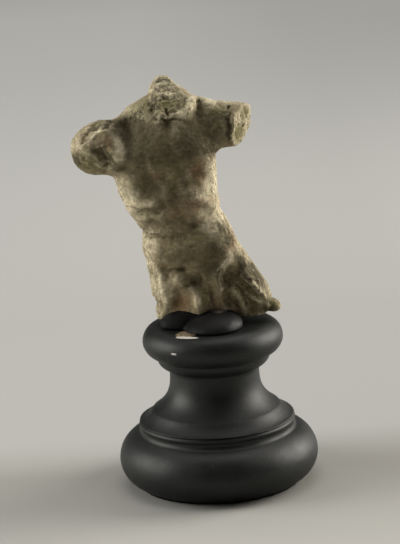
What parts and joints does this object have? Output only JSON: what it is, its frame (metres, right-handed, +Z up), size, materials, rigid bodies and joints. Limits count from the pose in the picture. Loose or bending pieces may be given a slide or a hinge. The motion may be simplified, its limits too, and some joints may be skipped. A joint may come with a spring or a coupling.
{
  "type": "terracotta torso sculpture on a turned socle",
  "caption": "Small fired-clay torso of a nude man, broken at neck, arms and thighs, bedded in black putty on a black turned waisted socle; stands on a shelf or table.",
  "frame": {"origin": "centre of the socle's flat underside", "axes": "+Z up along the socle's turned axis; the figure faces -Y, so +X is the viewer's right; +Y towards its back"},
  "size_m": [0.0549, 0.0482, 0.0986],
  "materials": {
    "fired_clay": "unglazed, rough and worn, buff with brown and olive dirt in the hollows",
    "black_putty": "smooth, dull black",
    "black_wood": "turned, painted satin black, a little paint lost on the cap"
  },
  "bodies": {
    "root": {"socle": "black_wood", "putty_bed": "black_putty", "torso": "fired_clay"}
  },
  "joints": []
}
